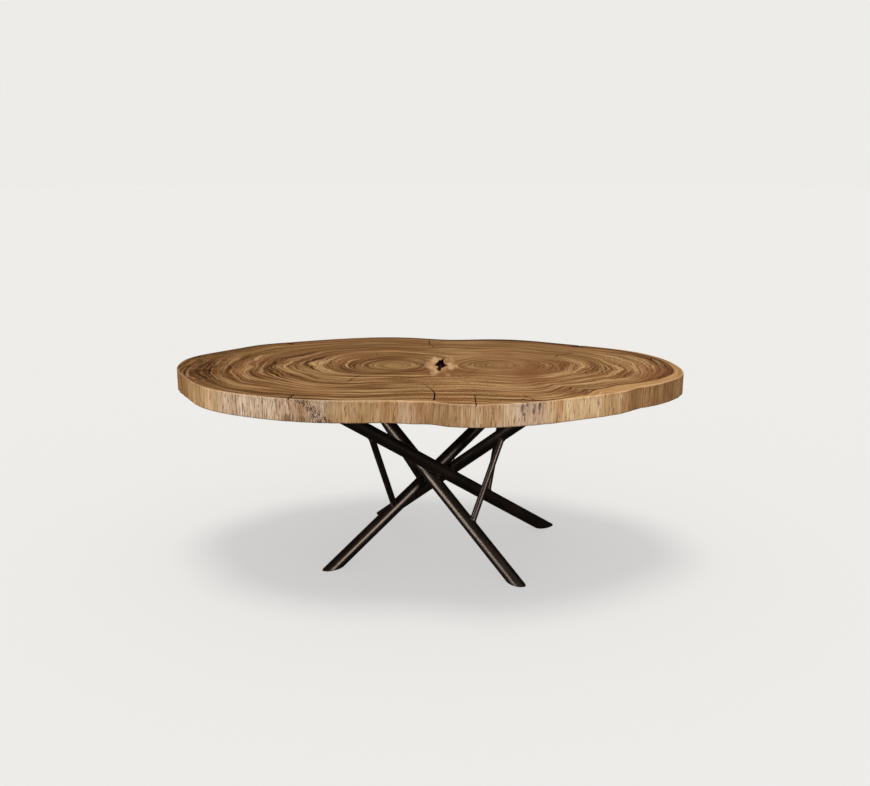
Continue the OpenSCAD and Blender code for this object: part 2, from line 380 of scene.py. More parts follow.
def hollowLine(angle):
    # the hollow's corners, joined by straight sides, read off by direction in a stretched plane
    corners = np.array(slab["hollowEdge"])
    stretch = np.array(slab["hollowStretch"])
    following = np.roll(corners, -1, 0)
    share = np.linspace(0, 1, 30, endpoint=False)[:, None]
    sides = np.concatenate([a * (1 - share) + b * share for a, b in zip(corners, following)]) / stretch
    turns = np.degrees(np.arctan2(sides[:, 1], sides[:, 0]))
    radii = np.hypot(sides[:, 0], sides[:, 1])
    order = np.argsort(turns)
    fine = np.arange(-180, 180, 0.5)
    radius = smoothed(np.interp(fine, turns[order], radii[order], period=360), 11)
    ragged = 1 + slab["ragged"] * waves(fine, 0 * fine, 23, 4)
    radius = np.interp(angle, fine, radius * ragged, period=360)
    turn = np.radians(angle)
    line = np.stack([radius * np.cos(turn), radius * np.sin(turn)], -1) * stretch
    return line + slab["hollowMiddle"]


theta = slabColumns()
bark = barkLine(theta)
brim = hollowLine(theta)
along = np.concatenate([[0], np.cumsum(np.linalg.norm(np.diff(bark, axis=0), axis=1))])
outwards = np.roll(bark, -1, 0) - np.roll(bark, 1, 0)
outwards = np.stack([outwards[:, 1], -outwards[:, 0]], -1)
outwards /= np.linalg.norm(outwards, axis=1)[:, None]
easing = slab["edge"] + bumps(theta, slab["softEdge"])


def topFace(share):
    # straight lines from the hollow's edge to the bark, read at these shares; a check pulls the
    # columns beside it onto its bent line and cuts a groove between them
    share = share[:, None]
    reach = bark - outwards * easing[:, None]
    flat = brim * (1 - share[..., None]) + reach * share[..., None]
    radiusShare = np.linalg.norm(flat, axis=-1) / np.linalg.norm(bark, axis=1)
    groove = np.zeros(flat.shape[:2])
    for check in slab["checks"]:
        off = wrapped(theta - check["turn"])
        middle = np.argmin(np.abs(off))
        outward = bark[middle] / np.linalg.norm(bark[middle])
        sideways = np.array([-outward[1], outward[0]])
        places, bends = zip(*check["bend"])
        wanted = np.interp(radiusShare[:, middle], places, bends) - flat[:, middle] @ sideways
        inner, outer = check["inner"], check["outer"]
        begin, done = slab["checkPull"]
        pulled = ease(radiusShare, inner - begin, inner - done) * (1 - ease(share, 0.97, 1))
        pull = wanted[:, None] * pulled * np.exp(-((off / check["spread"]) ** 2))
        flat = flat + pull[..., None] * sideways
        opened = ease(radiusShare, inner, inner + slab["checkDeepens"] * (1.05 - inner))
        opened = opened * (1 - ease(radiusShare, outer - slab["checkEnds"], outer))
        across = np.clip(1 - np.abs(off) / check["half"], 0, 1) ** 0.7
        groove = np.maximum(groove, check["depth"] * opened * across)
    return flat, groove


def slabGrid():
    # rows go from the middle of the hollow's floor over the top, down the side and under to the
    # middle; each point also keeps how much it is top, how deep in a hollow, and how much underside
    middle = np.array(slab["hollowMiddle"])
    top, bottom, floor = slab["top"], slab["bottom"], slab["hollowFloor"]
    level = np.zeros(len(theta))
    rows, zones = [], []

    def row(flat, height, onTop=0, below=0, under=0):
        rows.append(np.column_stack([flat, level + height]))
        zones.append(np.column_stack([level + onTop, level + below, level + under]))

    foot = floor + slab["floorRise"]
    mouth = top - slab["hollowLip"]
    for share in (0.3, 0.6, 0.85):
        flat = middle + (brim - middle) * share * slab["hollowFoot"]
        lumps = slab["floorLumps"] * waves(flat[:, 0], flat[:, 1], 0.05, 8)
        row(flat, np.clip((floor + foot) / 2 + lumps, floor, None), 1, top - floor)
    for share in np.linspace(0, 1, slab["wallRows"], endpoint=False):
        height = foot + (mouth - foot) * share
        narrow = slab["hollowFoot"] + (1 - slab["hollowFoot"]) * share ** 0.6
        scallop = 1 + slab["wallScallop"] * waves(theta, height * 900 + level, 30, 12) * (1 - share)
        wall = (brim - middle) * narrow * np.clip(scallop, 0, 1.02)[:, None]
        row(middle + wall, height, 1, top - height)
    row(middle + (brim - middle) * 0.995, top - slab["brimDrop"], 1, slab["brimDrop"])
    shares = np.concatenate([[0, 0.012], np.linspace(0.03, 0.985, slab["topRows"]), [0.995, 1]])
    flat, groove = topFace(shares)
    for i in range(len(shares)):
        row(flat[i], top - groove[i], 1, groove[i])
    lip = groove[-1]
    rim = flat[-1]
    for turn in np.radians([18, 36, 54, 72, 90]):
        off = easing * math.sin(turn)
        drop = easing * (1 - math.cos(turn))
        row(rim + outwards * off[:, None], top - drop - lip, 1 - math.sin(turn) ** 2, lip)
    outer = rim + outwards * easing[:, None]
    upper = top - easing
    lower = bottom + slab["lowerEdge"]
    fromEnd = slab["length"] / 2 - np.abs(outer[:, 0])
    keep = 1 - np.exp(-((fromEnd / slab["plainEnds"]) ** 2))
    even, uneven = slab["rippleWaves"]
    for share in np.linspace(0, 1, slab["sideRows"])[1:]:
        height = upper + (lower - upper) * share - lip * (1 - share) ** 4
        run = waves(along, height * 0.25, 0.05, 21) + 0.7 * waves(along, height * 0.3, 0.11, 22)
        dent = slab["ripple"] * np.clip(even + uneven * run, 0, None) * ease(share, 0, 0.12)
        rippled = outer - outwards * (dent * keep)[:, None]
        row(rippled, height)
    for turn in np.radians([30, 60, 90]):
        off = slab["lowerEdge"] * (1 - math.cos(turn))
        drop = slab["lowerEdge"] * math.sin(turn)
        row(rippled - outwards * off, lower - drop, under=math.sin(turn) ** 2)
    edge = rippled - outwards * slab["lowerEdge"]
    for share in (0.99, 0.9, 0.75, 0.6, 0.45, 0.3, 0.15):
        row(edge * share, bottom, under=1)
    return np.array(rows), np.array(zones)


slabRows, slabZones = slabGrid()
slabPiece = surface(
    "slab_top_wood",
    slabRows,
    poles=((*slab["hollowMiddle"], slab["hollowFloor"] + slab["floorRise"] / 2), (0, 0, slab["bottom"])),
    sharp=60,
)
print("slab surface:", len(slabPiece.data.polygons), "faces")


growth = {
    "stems": (-0.02, 0.16),  # places along x between which the left stem gives way to the right one
    # how long and how wide the small rings are round each heart, against one another
    "nearShape": [(0.70, 0.72), (0.70, 0.54)],
    "farthest": 0.80,  # reach of a heart towards the other stem
    "nearFar": (0.05, 0.85),  # shares of the way between which a heart's shape gives way to the bark's
    # rings round the left heart lean back and to the left: direction, push
    "lean": [
        (-180, -0.02), (-154, 0.034), (-128, 0.095), (-96, 0.13), (-60, 0.09), (-20, 0.02), (10, 0),
        (60, 0), (90, -0.03), (117, -0.05), (144, -0.03), (176, -0.02),
    ],
    "leanAt": (0.38, 0.17),  # share of the way where it is strongest, and how far it spreads
    "zigzag": [(172, 24, 1.0), (-6, 26, 1.0)],  # where small waves are high: direction, half angle, share
    # waves of the rings: length, height, seed, share everywhere, share in the zigzag
    "waves": [(0.30, 0.010, 31, 1, 0), (0.12, 0.004, 32, 0.4, 1), (0.05, 0.0032, 33, 0.1, 1)],
    "notch": {"turn": -36, "half": 4.5, "depth": 0.09},  # sharp inward point of the rings
    # width of the pale sapwood along the rim, by direction from the middle
    "sapwood": [
        (-62, 0), (-50, 0.008), (-42, 0.026), (-38, 0.060), (-34, 0.088), (-28, 0.082), (-19, 0.060),
        (-7, 0.044), (5, 0.034), (18, 0.024), (30, 0.012), (42, 0),
    ],
    # tone of the side round the slab, by outline direction: -180 left end, -90 front, 0 right end; partly
    # the wood's own tone and partly painted light and shade, lighter in places along the front and darker
    # at the right end
    "sideToneAndShade": [
        (-180, -0.9), (-165, -0.9), (-152, 0.0), (-143, 0.6), (-124, 1.15), (-117, 0.6), (-110, 0.6),
        (-105, -0.1), (-97, 0.1), (-93, 0.0), (-89, -0.6), (-85, -0.25), (-81, -0.3), (-77, 0.2),
        (-72, 0.7), (-62, 1.05), (-52, 1.1), (-46, 0.2), (-42, -0.2), (-38, -1.3), (-32, -1.05),
        (-24, -0.7), (-10, -1.1), (20, -0.8), (60, -0.4), (120, -0.4),
    ],
    # cracked belt and the two knots in the side: direction, half angle, strength
    "sideCrack": [(-112.5, 2.6, 1.0), (-116, 3.0, 0.5)],
    "sideKnot": [(-70.8, 0.9, 1.0), (-68.0, 1.2, 1.0)],
    "paleOval": (0.050, 0.010, 0.066, 0.205),  # pale wood round the hollow: middle, half width, half length
}


def readRound(angle, rows, soft=9):
    # value by direction: straight lines between the rows' values, rounded off
    fine = np.arange(-180, 180, 1.0)
    places, values = zip(*rows)
    level = smoothed(np.interp(fine, places, values, period=360), soft + 2)
    return np.interp(angle, fine, level, period=360)


def growthFields(x, y):
    # distance from each heart to the bark in the direction of a point, which near the heart gives
    # way to a small oval's (a product of powers of both), and what bends the rings: a lean, waves of
    # three lengths and a notch
    line = barkLine(np.arange(-180, 180, 0.5))
    direction = np.degrees(np.arctan2(y, x))
    reaches, shares, turns = [], [], []
    for (heartX, heartY), (halfLong, halfWide) in zip(slab["hearts"], growth["nearShape"]):
        lineTurns = np.degrees(np.arctan2(line[:, 1] - heartY, line[:, 0] - heartX))
        far = np.hypot(line[:, 0] - heartX, line[:, 1] - heartY)
        order = np.argsort(lineTurns)
        turn = np.arctan2(y - heartY, x - heartX)
        toBark = np.interp(np.degrees(turn), lineTurns[order], far[order], period=360)
        toBark = np.minimum(toBark, growth["farthest"])
        share = np.hypot(x - heartX, y - heartY) / toBark
        near = 1 / np.hypot(np.cos(turn) / halfLong, np.sin(turn) / halfWide)
        mix = ease(share, *growth["nearFar"])
        reaches.append(near ** (1 - mix) * toBark ** mix)
        shares.append(share)
        turns.append(np.degrees(turn))
    share = np.hypot(x, y) / np.linalg.norm(barkLine(direction), axis=-1)
    middle, spread = growth["leanAt"]
    lean = readRound(turns[0], growth["lean"], 21) * np.exp(-(((shares[0] - middle) / spread) ** 2))
    lean = lean * (1 - ease(x, *growth["stems"]))
    zigzag = bumps(direction, growth["zigzag"])
    bend = 0
    for length, height, seed, everywhere, there in growth["waves"]:
        bend = bend + waves(x, y, length, seed) * height * (everywhere + zigzag * there)
    bend = bend * ease(share, 0.1, 0.45) * (1 - 0.4 * ease(share, 0.85, 1.0))
    notch = growth["notch"]
    beside = np.abs(wrapped(direction - notch["turn"])) / notch["half"]
    inward = notch["depth"] * np.exp(-beside) * ease(share, 0.45, 0.85)
    return reaches[0], reaches[1], bend + inward + lean


allX, allY = slabRows[..., 0], slabRows[..., 1]
direction = np.degrees(np.arctan2(allY, allX))
store(slabPiece, "growth", growthFields(allX, allY), [(0.7, 0.7, 0), (0.7, 0.7, 0)])
hollowDepth = slab["top"] - slab["hollowFloor"]
store(slabPiece, "zone", np.moveaxis(slabZones, -1, 0), [(1, hollowDepth, 0), (0, 0, 1)])
rimDepth = np.linalg.norm(bark, axis=1) - np.hypot(allX, allY)
sapwood = readRound(direction, growth["sapwood"], 3)
paleX, paleY, paleHalfX, paleHalfY = growth["paleOval"]
pale = 1.4 - np.hypot((allX - paleX) / paleHalfX, (allY - paleY) / paleHalfY)
store(slabPiece, "rim", [rimDepth, sapwood, pale])
sideToneAndShade = readRound(theta, growth["sideToneAndShade"], 7)
sideCrack = bumps(theta, growth["sideCrack"])
sideKnot = bumps(theta, growth["sideKnot"])
store(slabPiece, "side", [sideToneAndShade + 0 * allX, sideCrack + 0 * allX, sideKnot + 0 * allX])
store(slabPiece, "track", [along + 0 * allX, slabRows[..., 2], 0 * allX])
print("growth fields stored")


# wood of the top
topWood = {
    "ringTones": [  # from the darkest late wood to the palest band
        (0.00, tone(56, 30, 12)), (0.20, tone(98, 60, 28)), (0.42, tone(136, 92, 50)),
        (0.60, tone(162, 116, 70)), (0.78, tone(190, 145, 96)), (1.00, tone(220, 178, 126)),
    ],
    # how light the rings are by age, in the left stem and in the right one
    "leftRings": [
        (0.00, 0.50), (0.120, 0.51), (0.165, 0.40), (0.190, 0.45), (0.235, 0.42), (0.250, 0.56),
        (0.265, 0.42), (0.350, 0.42), (0.375, 0.66), (0.415, 0.70), (0.430, 0.34), (0.470, 0.38),
        (0.495, 0.64), (0.515, 0.36), (0.540, 0.68), (0.570, 0.60), (0.590, 0.36), (0.640, 0.46),
        (0.700, 0.44), (0.730, 0.62), (0.760, 0.40), (0.830, 0.36), (1.000, 0.33),
    ],
    "rightRings": [
        (0.00, 0.47), (0.200, 0.49), (0.405, 0.50), (0.445, 0.64), (0.480, 0.66), (0.495, 0.38),
        (0.535, 0.40), (0.565, 0.64), (0.605, 0.40), (0.655, 0.66), (0.695, 0.42), (0.745, 0.64),
        (0.800, 0.46), (0.900, 0.40), (1.000, 0.42),
    ],
    "olive": tone(138, 106, 58),
    "russet": tone(134, 78, 45),
    "heartwood": tone(158, 120, 70),
    "collar": tone(104, 64, 34),
    "pale": [tone(186, 134, 84), tone(228, 184, 134)],
    "sapwood": [tone(182, 130, 78), tone(222, 175, 116)],
    "sapBorder": tone(72, 42, 22),
    "shaded": tone(150, 130, 112),  # tint of the rear rim and of the left end
    "hollow": tone(170, 118, 82),
    "hollowFloor": tone(74, 46, 30),
    # paler rim: partly wear, partly a painted highlight
    "wornAndHighlight": tone(220, 188, 148),
    # dark of the cracks, also painted shade down the checks and the hollow's upper wall
    "crackAndDepthShade": tone(46, 29, 18),
    "underside": tone(120, 92, 66),
    "rings": 46,  # dark lines from a heart to the bark
    "bandsOfRings": 13,  # and the bolder ones among them
    "joining": 0.18,  # how softly the rings of the two stems meet
    "levelLines": (-0.10, 0.30, 1.6),  # where they start, their age there and how fast it grows
    "levelShare": 0.9,  # how far they take over from the rings round the hearts
    "waver": (0.022, 0.010),  # how far the two noises grain and wander bend the rings
    # noise patterns: scale, detail, roughness
    "grain": (7.0, 3.0, 0.55),
    "wander": (30.0, 2.0, 0.5),
    "mottle": (26.0, 2.0, 0.6),
    "drift": (3.4, 2.0, 0.5),
    # noise along the age: lines from a heart to the bark, turns round the slab, detail, start
    "bands": {
        "broad": (8.0, 1.0, 1.0, 0.0), "main": (30.0, 2.2, 1.5, 40.0),
        "fine": (90.0, 4.0, 1.0, 90.0), "hair": (240.0, 7.0, 1.0, 160.0),
    },
    # zones along x and y, each from nothing to all, or up to all and down again
    "zones": {
        "levelRings": {"x": (-0.34, 0.00, 0.12, 0.46), "y": (-0.10, -0.22)},
        "rear": {"y": (0.02, 0.36)},
        "front": {"x": (-0.50, -0.20, 0.40, 0.70), "y": (-0.10, -0.30)},
        "frontLeft": {"x": (-0.75, -0.55, -0.15, 0.05), "y": (-0.25, -0.40)},
        "frontRight": {"x": (0.14, 0.30), "y": (-0.25, -0.40)},
        "leftBurl": {"x": (-0.72, -0.86)},
        "rightRings": {"x": (0.30, 0.46)},
        "farRight": {"x": (0.70, 0.86)},
    },
    "rightHeart": ((0.30, 0.0, 0.0), 0.50, 0.15),  # calmer rings: middle, outer and inner distance
    "leftShade": ((-0.5, 0.0, 0.0), 0.75, 0.35),
    # painted highlight on the top near the right end
    "highlightSpot": ((0.80, -0.09), (28, 11)),  # pale spot at the right end: middle, scales along x and y
    # lightness of the wood, and what zones and spots add to it
    "plain": 0.63,
    "lighter": {"levelRings": 0.035, "frontLeft": 0.06, "rear": 0.03, "farRight": -0.06},
    "highlightSpotLighter": 0.16,
    "leftDarker": 0.11,
    # how far each pattern lightens or darkens the wood
    "weights": {
        "profile": 0.85, "broad": 0.30, "main": 0.60, "crisp": 0.22, "fine": 0.65, "hair": 0.45,
        "late": 0.26, "rightLate": 0.15, "bold": 0.17, "mottle": 0.80, "pores": 0.06,
    },
    # how strongly each tone covers the wood where it lies
    "cover": {
        "russet": 0.52, "olive": 0.38, "heartwood": 0.45, "collar": 0.20, "darkEnd": 0.192, "pale": 0.90,
        "sapwood": 0.85, "sapBorder": 0.70, "darkLines": 0.32, "scratches": 0.88, "wornAndHighlight": 0.15,
        "hollowFloor": 0.85, "underside": 0.35,
    },
    # short checks drawn on the top: ends in plan and half width
    "scratches": [
        ((-0.290, -0.285), (-0.268, -0.225), 0.0036), ((-0.268, -0.225), (-0.253, -0.182), 0.0030),
        ((0.142, -0.142), (0.194, -0.087), 0.0026), ((0.142, -0.260), (0.152, -0.330), 0.0008),
        ((0.520, 0.165), (0.552, 0.222), 0.0040), ((0.552, 0.222), (0.610, 0.250), 0.0050),
        ((0.329, -0.476), (0.376, -0.574), 0.0022), ((0.345, -0.510), (0.322, -0.570), 0.0016),
        ((-0.215, 0.261), (-0.206, 0.190), 0.0012), ((0.005, 0.560), (0.006, 0.425), 0.0030),
        ((0.006, 0.425), (0.030, 0.385), 0.0036), ((-0.455, -0.476), (-0.470, -0.530), 0.0036),
        ((0.916, 0.160), (0.905, 0.100), 0.0036),
        # ragged mouths of the two checks in the rear rim
        ((0.610, 0.416), (0.660, 0.396), 0.0090), ((0.622, 0.398), (0.674, 0.376), 0.0090),
        ((0.646, 0.424), (0.652, 0.372), 0.0060), ((-0.622, 0.482), (-0.594, 0.462), 0.0090),
        ((-0.606, 0.492), (-0.600, 0.446), 0.0080),
    ],
    # the boldest dark lines of the grain
    "darkLines": [
        ((0.000, -0.232), (0.165, -0.228), 0.0060), ((0.165, -0.311), (0.470, -0.291), 0.0045),
        ((0.163, -0.371), (0.367, -0.394), 0.0045), ((-0.765, -0.190), (-0.540, -0.375), 0.0060),
        ((-0.540, -0.375), (-0.250, -0.412), 0.0060), ((-0.250, -0.412), (-0.004, -0.450), 0.0045),
        ((-0.335, -0.475), (-0.021, -0.494), 0.0040), ((0.640, 0.060), (0.655, -0.130), 0.0040),
    ],
}


def zone(p, x, y, name):
    # product of the zone's steps along x and along y
    share = None
    for value, axis in ((x, "x"), (y, "y")):
        places = topWood["zones"][name].get(axis)
        if places:
            part = p.window(value, *places) if len(places) == 4 else p.step(value, *places)
            share = part if share is None else share * part
    return share


def strokes(p, u, v, rows):
    # drawn marks: distance to a line between two ends over its half width, thinner towards both
    marks = None
    for (ax, ay), (bx, by), half in rows:
        length = math.hypot(bx - ax, by - ay)
        ux, uy = (bx - ax) / length, (by - ay) / length
        lengthwise = (u - ax) * ux + (v - ay) * uy
        aside = abs((v - ay) * ux - (u - ax) * uy)
        endwise = abs(lengthwise - length / 2) / (length / 2)
        mark = p.step(aside / half + endwise ** 4 * 0.9, 1.3, 0.4)
        marks = mark if marks is None else p.number("MAXIMUM", marks, mark)
    return marks


def ringAge(p, x, y, flat, grain, wander):
    # share of the way from the nearer heart to the bark, wavering with the grain; in front of the
    # hollow it grows evenly towards the viewer, so that the rings of both stems run on as level lines
    *reaches, bend = p.field("growth")
    hearts = [p.away(flat, (*heart, 0.0)) / reach for heart, reach in zip(slab["hearts"], reaches)]
    nearer = p.number("SMOOTH_MIN", *hearts, topWood["joining"]) + bend
    start, startAge, rate = topWood["levelLines"]
    level = startAge - (y - start) * rate
    levelRings = zone(p, x, y, "levelRings")
    nearer = nearer + (level - nearer) * levelRings * topWood["levelShare"]
    byGrain, byWander = topWood["waver"]
    return hearts[0], nearer + (grain - 0.5) * byGrain + (wander - 0.5) * byWander, levelRings


def ringTone(p, x, y, flat, grain, age, levelRings):
    # lightness of the rings: a profile by age, bands of four widths, dark late wood and bold lines,
    # each stronger or weaker by zone; also gives what the colour and the relief read again
    weights = topWood["weights"]
    around = p.away(flat) + 0.3  # keeps the bands from narrowing to a point in the middle
    bands = {}
    for name, (rate, turn, detail, start) in topWood["bands"].items():
        place = p.join(age * rate + start, x / around * turn, y / around * turn)
        bands[name] = p.noise(place, 1.0, detail) - 0.5
    broad, main, fine, hair = bands.values()
    rear, front = zone(p, x, y, "rear"), zone(p, x, y, "front")
    ends = p.step(abs(p.parts(p.vector("NORMALIZE", flat))[0]), 0.45, 0.95)
    heart, outer, inner = topWood["rightHeart"]
    lively = (1 - p.step(p.away(flat, heart), outer, inner) * 0.35) * (1 - rear * 0.45)
    leftStem = 1 - p.step(x, *growth["stems"])
    profile = p.greys(age, topWood["leftRings"]) * leftStem
    profile = profile + p.greys(age, topWood["rightRings"]) * (1 - leftStem)
    year = p.number("FRACT", age * topWood["rings"] + (grain - 0.5) * 1.2)
    late = p.window(year, 0.45, 0.86, 0.90, 1.0)
    dozen = p.number("FRACT", age * topWood["bandsOfRings"] + broad * 1.4 + (grain - 0.5) * 0.8)
    bold = p.window(dozen, 0.58, 0.80, 0.84, 0.93) * p.step(fine + broad, -0.10, 0.08)
    crisp = p.step(main, -0.12, 0.12) - 0.5
    mottle = p.noise(flat, *topWood["mottle"]) - 0.5
    pores = p.noise(p.join(x * 130.0, y * 40.0, 7.0), 1.0, 1.0) - 0.5

    middle, outer, inner = topWood["leftShade"]
    value = topWood["plain"] - p.step(p.away(flat, middle), outer, inner) * topWood["leftDarker"]
    for name, lighter in topWood["lighter"].items():
        value = value + zone(p, x, y, name) * lighter
    # painted highlight: a pale spot near the right end
    (spotX, spotY), (scaleX, scaleY) = topWood["highlightSpot"]
    fromHighlightSpot = p.away(p.join((x - spotX) * scaleX, (y - spotY) * scaleY, 0.0))
    value = value + p.step(fromHighlightSpot, 1.2, 0.3) * topWood["highlightSpotLighter"]
    value = value + (profile - 0.47) * (1 - rear * 0.75) * (1 - front * 0.5) * lively * weights["profile"]
    value = value + broad * (1 - levelRings * 0.7) * weights["broad"]
    strong = main * weights["main"] + crisp * weights["crisp"]
    value = value + strong * lively * (1.10 - ends * 0.50) * (1 - levelRings * 0.40)
    value = value + fine * lively * (ends * 0.70 + weights["fine"]) + hair * weights["hair"]
    lateHere = late * p.step(main + broad * 0.5, 0.10, -0.08) * lively * (1 - levelRings * 0.3)
    value = value - lateHere * weights["late"] - bold * (1 - ends) * lively * weights["bold"]
    rightLate = (0.10 - late) * zone(p, x, y, "rightRings") * (1 - rear * 0.6)
    value = value + rightLate * weights["rightLate"]
    value = value + mottle * zone(p, x, y, "leftBurl") * (1 - front) * weights["mottle"]
    value = value + pores * (levelRings * 0.34 + rear * 0.14 + weights["pores"])
    value = value + (fine * 0.6 + hair * 0.5 + main * 0.25) * zone(p, x, y, "frontRight")
    return p.ramp(p.clamp(value), topWood["ringTones"]), main, fine, hair, late


def topLook(p, x, y, z, wander, onTop, below, under):
    # colour, relief and change of roughness of all that faces up or down, and of what is cut into it
    flat = p.join(x, y, 0.0)
    grain = p.noise(flat, *topWood["grain"])
    fromHeart, age, levelRings = ringAge(p, x, y, flat, grain, wander)
    face, main, fine, hair, late = ringTone(p, x, y, flat, grain, age, levelRings)
    rimDepth, sapWidth, pale = p.field("rim")
    cover = topWood["cover"]

    # large drifts of hue, the greenish heart on the left with a reddish ring round it, and shade
    drift = p.noise(flat, *topWood["drift"]) + x * 0.04
    face = p.blend(p.step(drift, 0.50, 0.70) * cover["russet"], face, topWood["russet"])
    face = p.blend(p.step(drift, 0.48, 0.28) * cover["olive"], face, topWood["olive"])
    heart = p.step(fromHeart + (grain - 0.5) * 0.05, 0.18, 0.10)
    face = p.blend(heart * cover["heartwood"], face, topWood["heartwood"])
    collar = p.window(fromHeart, 0.140, 0.175, 0.18, 0.25) * cover["collar"]
    face = p.blend(p.clamp(collar * (main * 2 + 0.6)), face, topWood["collar"])
    darkRim = p.step(rimDepth + (grain - 0.5) * 0.06, 0.08, 0.0) * p.step(y, 0.0, 0.25)
    darkEnd = p.step((grain - 0.5) * 0.1 - x, 0.68, 0.92) * cover["darkEnd"]
    shade = p.clamp(darkRim * (p.step(x, -0.1, 0.5) * 0.4 + 0.5) + darkEnd)
    face = p.blend(shade, face, p.blend(1.0, face, topWood["shaded"], "MULTIPLY"))

    # pale wood in ragged strips on both sides of the hollow
    ragged = p.noise(p.join(x * 24.0, y * 7.0, 3.0), 1.0, 2.0, 0.5)
    paleShare = p.step(pale + (ragged - 0.5) * 1.6, 0.35, 0.85)
    paleWood = p.blend(p.step(ragged + fine * 0.3, 0.36, 0.62), *topWood["pale"])
    face = p.blend(paleShare * cover["pale"], face, paleWood)

    # sapwood along the right front rim, with a dark line inside it
    inside = rimDepth - sapWidth * (grain * 0.2 + 0.90) + 0.004
    isSap = p.step(inside, 0.002, -0.002) * p.step(sapWidth, 0.004, 0.010)
    border = p.step(abs(inside), 0.009, 0.002) * p.step(sapWidth, 0.020, 0.034)
    sapwood = p.blend(p.step(fine + hair * 0.6 + 0.5, 0.3, 0.7), *topWood["sapwood"])
    face = p.blend(isSap * cover["sapwood"], face, sapwood)
    face = p.blend(border * cover["sapBorder"], face, topWood["sapBorder"])

    # bold lines of the grain and short checks, both bent by the noise
    crookedX = x + (wander - 0.5) * 0.016
    crookedY = y + (grain - 0.5) * 0.03
    lines = strokes(p, crookedX, crookedY, topWood["darkLines"])
    face = p.blend(lines * cover["darkLines"], face, topWood["collar"])
    marks = strokes(p, crookedX, crookedY, topWood["scratches"])
    face = p.blend(marks * onTop * cover["scratches"], face, topWood["crackAndDepthShade"])

    # the rim is paler, partly wear and partly a painted highlight; a check, and the upper wall of the
    # hollow, turn dark with depth as painted shade, and deeper down the hollow has its own tone and its
    # floor a darker one
    face = p.blend(p.step(rimDepth, 0.010, 0.002) * cover["wornAndHighlight"], face, topWood["wornAndHighlight"])
    # painted shade: a check and the upper wall of the hollow darken with depth
    face = p.blend(p.step(below, 0.0006, 0.003), face, topWood["crackAndDepthShade"])
    face = p.blend(p.step(below, 0.012, 0.03), face, topWood["hollow"])
    face = p.blend(p.step(below, 0.048, 0.060) * cover["hollowFloor"], face, topWood["hollowFloor"])
    face = p.blend(under * cover["underside"], face, topWood["underside"])
    fibre = p.noise(p.join(x, y, z * 0.2), 420.0, 1.0)
    relief = fine * 0.5 + fibre * 0.25 - late * 0.25 - marks * 2.0
    return face, relief, fibre * 0.10 - main * 0.12


# wood of the side
sideWood = {
    "sideTones": [
        (0.00, tone(76, 49, 28)), (0.25, tone(128, 92, 58)), (0.50, tone(170, 131, 90)),
        (0.75, tone(204, 173, 141)), (1.00, tone(230, 209, 186)),
    ],
    "slit": tone(92, 62, 40),
    "mauve": tone(158, 124, 104),
    "yellow": tone(150, 122, 70),
    "pink": tone(190, 134, 92),
    "mark": tone(78, 56, 44),
    # painted shade along the lower edge
    "foot": tone(84, 62, 44),
    "golden": tone(255, 247, 225),  # tint of the side where it is yellower
    # how golden the side is along the slab's length, from its left end at 0 to its right end at 1
    "goldenSide": [
        (0.00, 0.8), (0.12, 0.8), (0.15, 0.0), (0.33, 0.0), (0.36, 0.6), (0.43, 0.6),
        (0.46, 0.0), (0.69, 0.0), (0.72, 0.9), (0.81, 0.9), (0.84, 0.2), (1.00, 0.2),
    ],
    # noise patterns of the upright streaks: scale, detail, roughness
    "thin": (280.0, 2.0, 0.6),
    "streak": (120.0, 1.0, 0.5),
    "wide": (16.0, 2.0, 0.6),
    "hue": (9.0, 1.0, 0.5),
    "slits": (330.0, 1.0, 0.5),
    "jagged": (125.0, 2.0, 0.65),
    # how far each lightens or darkens the side
    "plain": 0.53,
    "weights": {"thin": 0.85, "streak": 0.22, "wide": 0.75, "tone": 0.24},
    # how strongly each tone covers the side where it lies
    "cover": {
        "yellow": 0.22, "pink": 0.20, "slit": 0.72, "cracked": 0.35, "splits": 0.90, "aroundKnots": 0.45,
        "drawn": 0.5, "knots": 0.4, "foot": 0.45,
    },
    # where slits are common: places along x, how common
    "slitPlaces": [((-0.78, -0.70, -0.46, -0.40), 0.085), ((0.34, 0.44, 0.64, 0.72), 0.03)],
    "lowSlits": ((-0.52, -0.46, -0.34, -0.30), 0.10),  # and in the lower half only
    # marks on the side: outline direction and height of both ends, half width
    "sideMarks": [
        ((-77.1, 0.757), (-77.4, 0.722), 0.0016), ((-77.4, 0.722), (-77.9, 0.682), 0.0020),
        ((-71.4, 0.757), (-71.5, 0.722), 0.0048), ((-70.4, 0.757), (-70.4, 0.726), 0.0040),
        ((-71.5, 0.722), (-70.6, 0.718), 0.0040), ((-70.9, 0.716), (-70.8, 0.686), 0.0016),
        ((-69.0, 0.758), (-69.0, 0.718), 0.0056), ((-67.5, 0.758), (-67.9, 0.716), 0.0044),
        ((-104.7, 0.742), (-104.8, 0.712), 0.0014),
        ((-97.0, 0.708), (-97.3, 0.684), 0.0014), ((-95.2, 0.712), (-95.3, 0.684), 0.0014),
        ((-58.0, 0.748), (-58.3, 0.690), 0.0012), ((-106.7, 0.745), (-106.9, 0.700), 0.0012),
    ],
    "crackBand": ((-115.6, 0.756), (-110.9, 0.682)),  # belt of small cracks slanting down the side
}


def runAt(angle):
    # metres along the bark line at a direction
    return float(np.interp(angle, theta, along))


